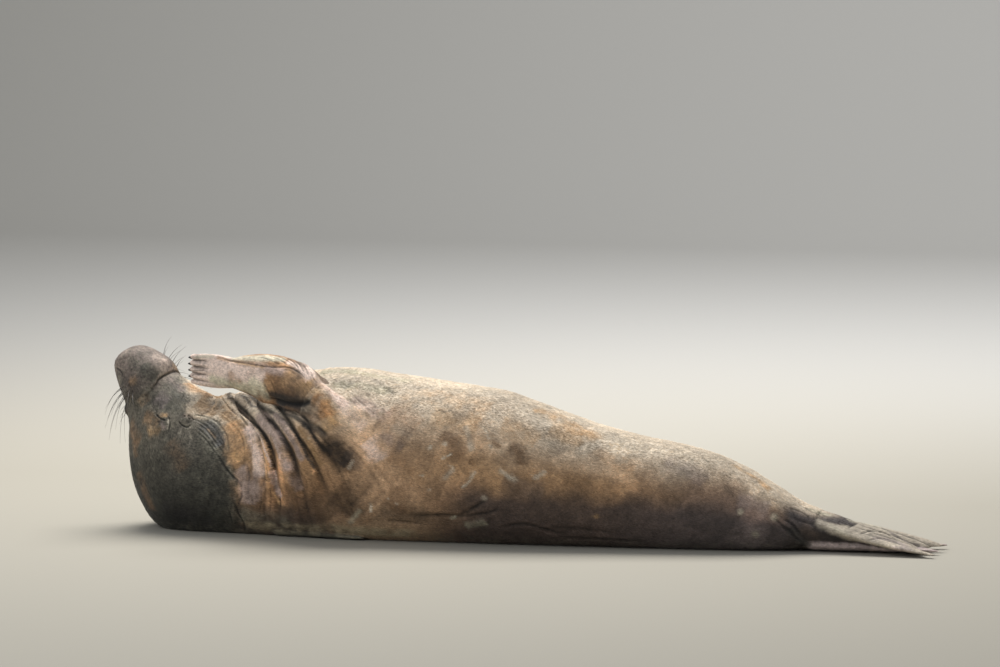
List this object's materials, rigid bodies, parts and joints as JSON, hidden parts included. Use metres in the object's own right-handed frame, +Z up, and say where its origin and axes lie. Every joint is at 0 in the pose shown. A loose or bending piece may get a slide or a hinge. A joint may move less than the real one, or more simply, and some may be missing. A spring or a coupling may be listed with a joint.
{
  "type": "elephant seal, still life-size model",
  "caption": "Young male elephant seal lying on its right side with its nose raised and a foreflipper held to its chin.",
  "frame": {"origin": "on the floor, under the middle of the animal's bounding box", "axes": "+X runs along the body from the nose end towards the hind flippers, +Z is up, and the belly faces -Y"},
  "size_m": [3.503, 0.8146, 0.7534],
  "materials": {
    "skin": "short flat fur, tan brown, mottled and scarred",
    "flipper": "short flat fur over webbed digits, pinkish grey",
    "eye": "wet dark eye",
    "nail": "black horn"
  },
  "bodies": {
    "root": {"nose": "skin", "head": "skin", "right_eye": "eye", "left_eye": "eye", "neck": "skin", "shoulders": "skin", "chest": "skin", "belly": "skin", "hips": "skin", "tail": "skin", "left_foreflipper_arm": "flipper", "left_foreflipper_hand": "flipper", "right_foreflipper": "flipper", "left_hind_flipper": "flipper", "right_hind_flipper": "flipper"}
  },
  "joints": []
}
